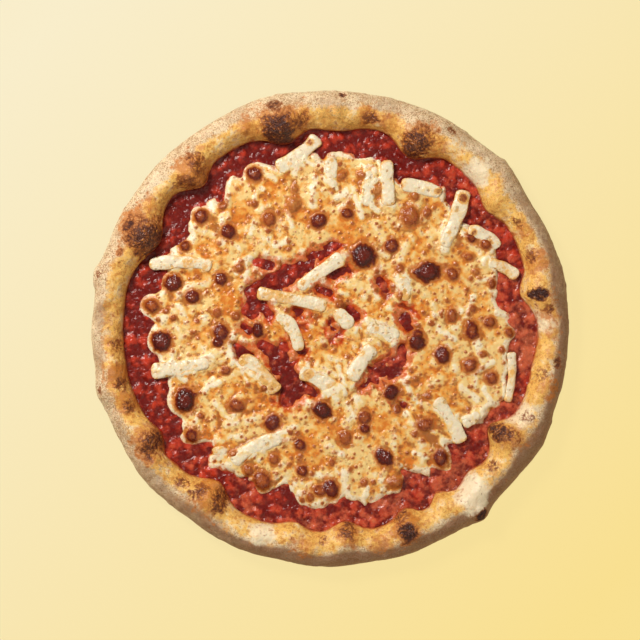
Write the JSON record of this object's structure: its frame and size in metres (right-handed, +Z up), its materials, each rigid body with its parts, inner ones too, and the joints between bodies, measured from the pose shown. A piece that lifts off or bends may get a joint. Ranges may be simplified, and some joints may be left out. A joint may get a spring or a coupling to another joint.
{
  "type": "margherita pizza",
  "caption": "Whole round pizza with a puffed blistered rim, tomato sauce, a browned melted mozzarella sheet and firm mozzarella strips.",
  "frame": {"origin": "middle of the flat underside", "axes": "+Z up out of the topping; +Y towards the top of the picture, +X towards its right"},
  "size_m": [0.3003, 0.2995, 0.0242],
  "materials": {
    "crust": "baked wheat dough: pale floury brown, toasted golden inside, with dark blisters",
    "sauce": "wet, pulpy cooked tomato",
    "cheese": "melted mozzarella, oily, cream to golden, with browned bubbles",
    "strips": "firm mozzarella, ivory, lightly glossy"
  },
  "bodies": {
    "root": {"crust": "crust", "sauce": "sauce", "cheese": "cheese", "mozzarella_strip_01": "strips", "mozzarella_strip_02": "strips", "mozzarella_strip_03": "strips", "mozzarella_strip_04": "strips", "mozzarella_strip_05": "strips", "mozzarella_strip_06": "strips", "mozzarella_strip_07": "strips", "mozzarella_strip_08": "strips", "mozzarella_strip_09": "strips", "mozzarella_strip_10": "strips", "mozzarella_strip_11": "strips", "mozzarella_strip_12": "strips", "mozzarella_strip_13": "strips", "mozzarella_strip_14": "strips", "mozzarella_strip_15": "strips", "mozzarella_strip_16": "strips", "mozzarella_strip_17": "strips", "mozzarella_strip_18": "strips", "mozzarella_strip_19": "strips", "mozzarella_strip_20": "strips", "mozzarella_strip_21": "strips", "mozzarella_strip_22": "strips", "mozzarella_strip_23": "strips", "mozzarella_strip_24": "strips"}
  },
  "joints": []
}
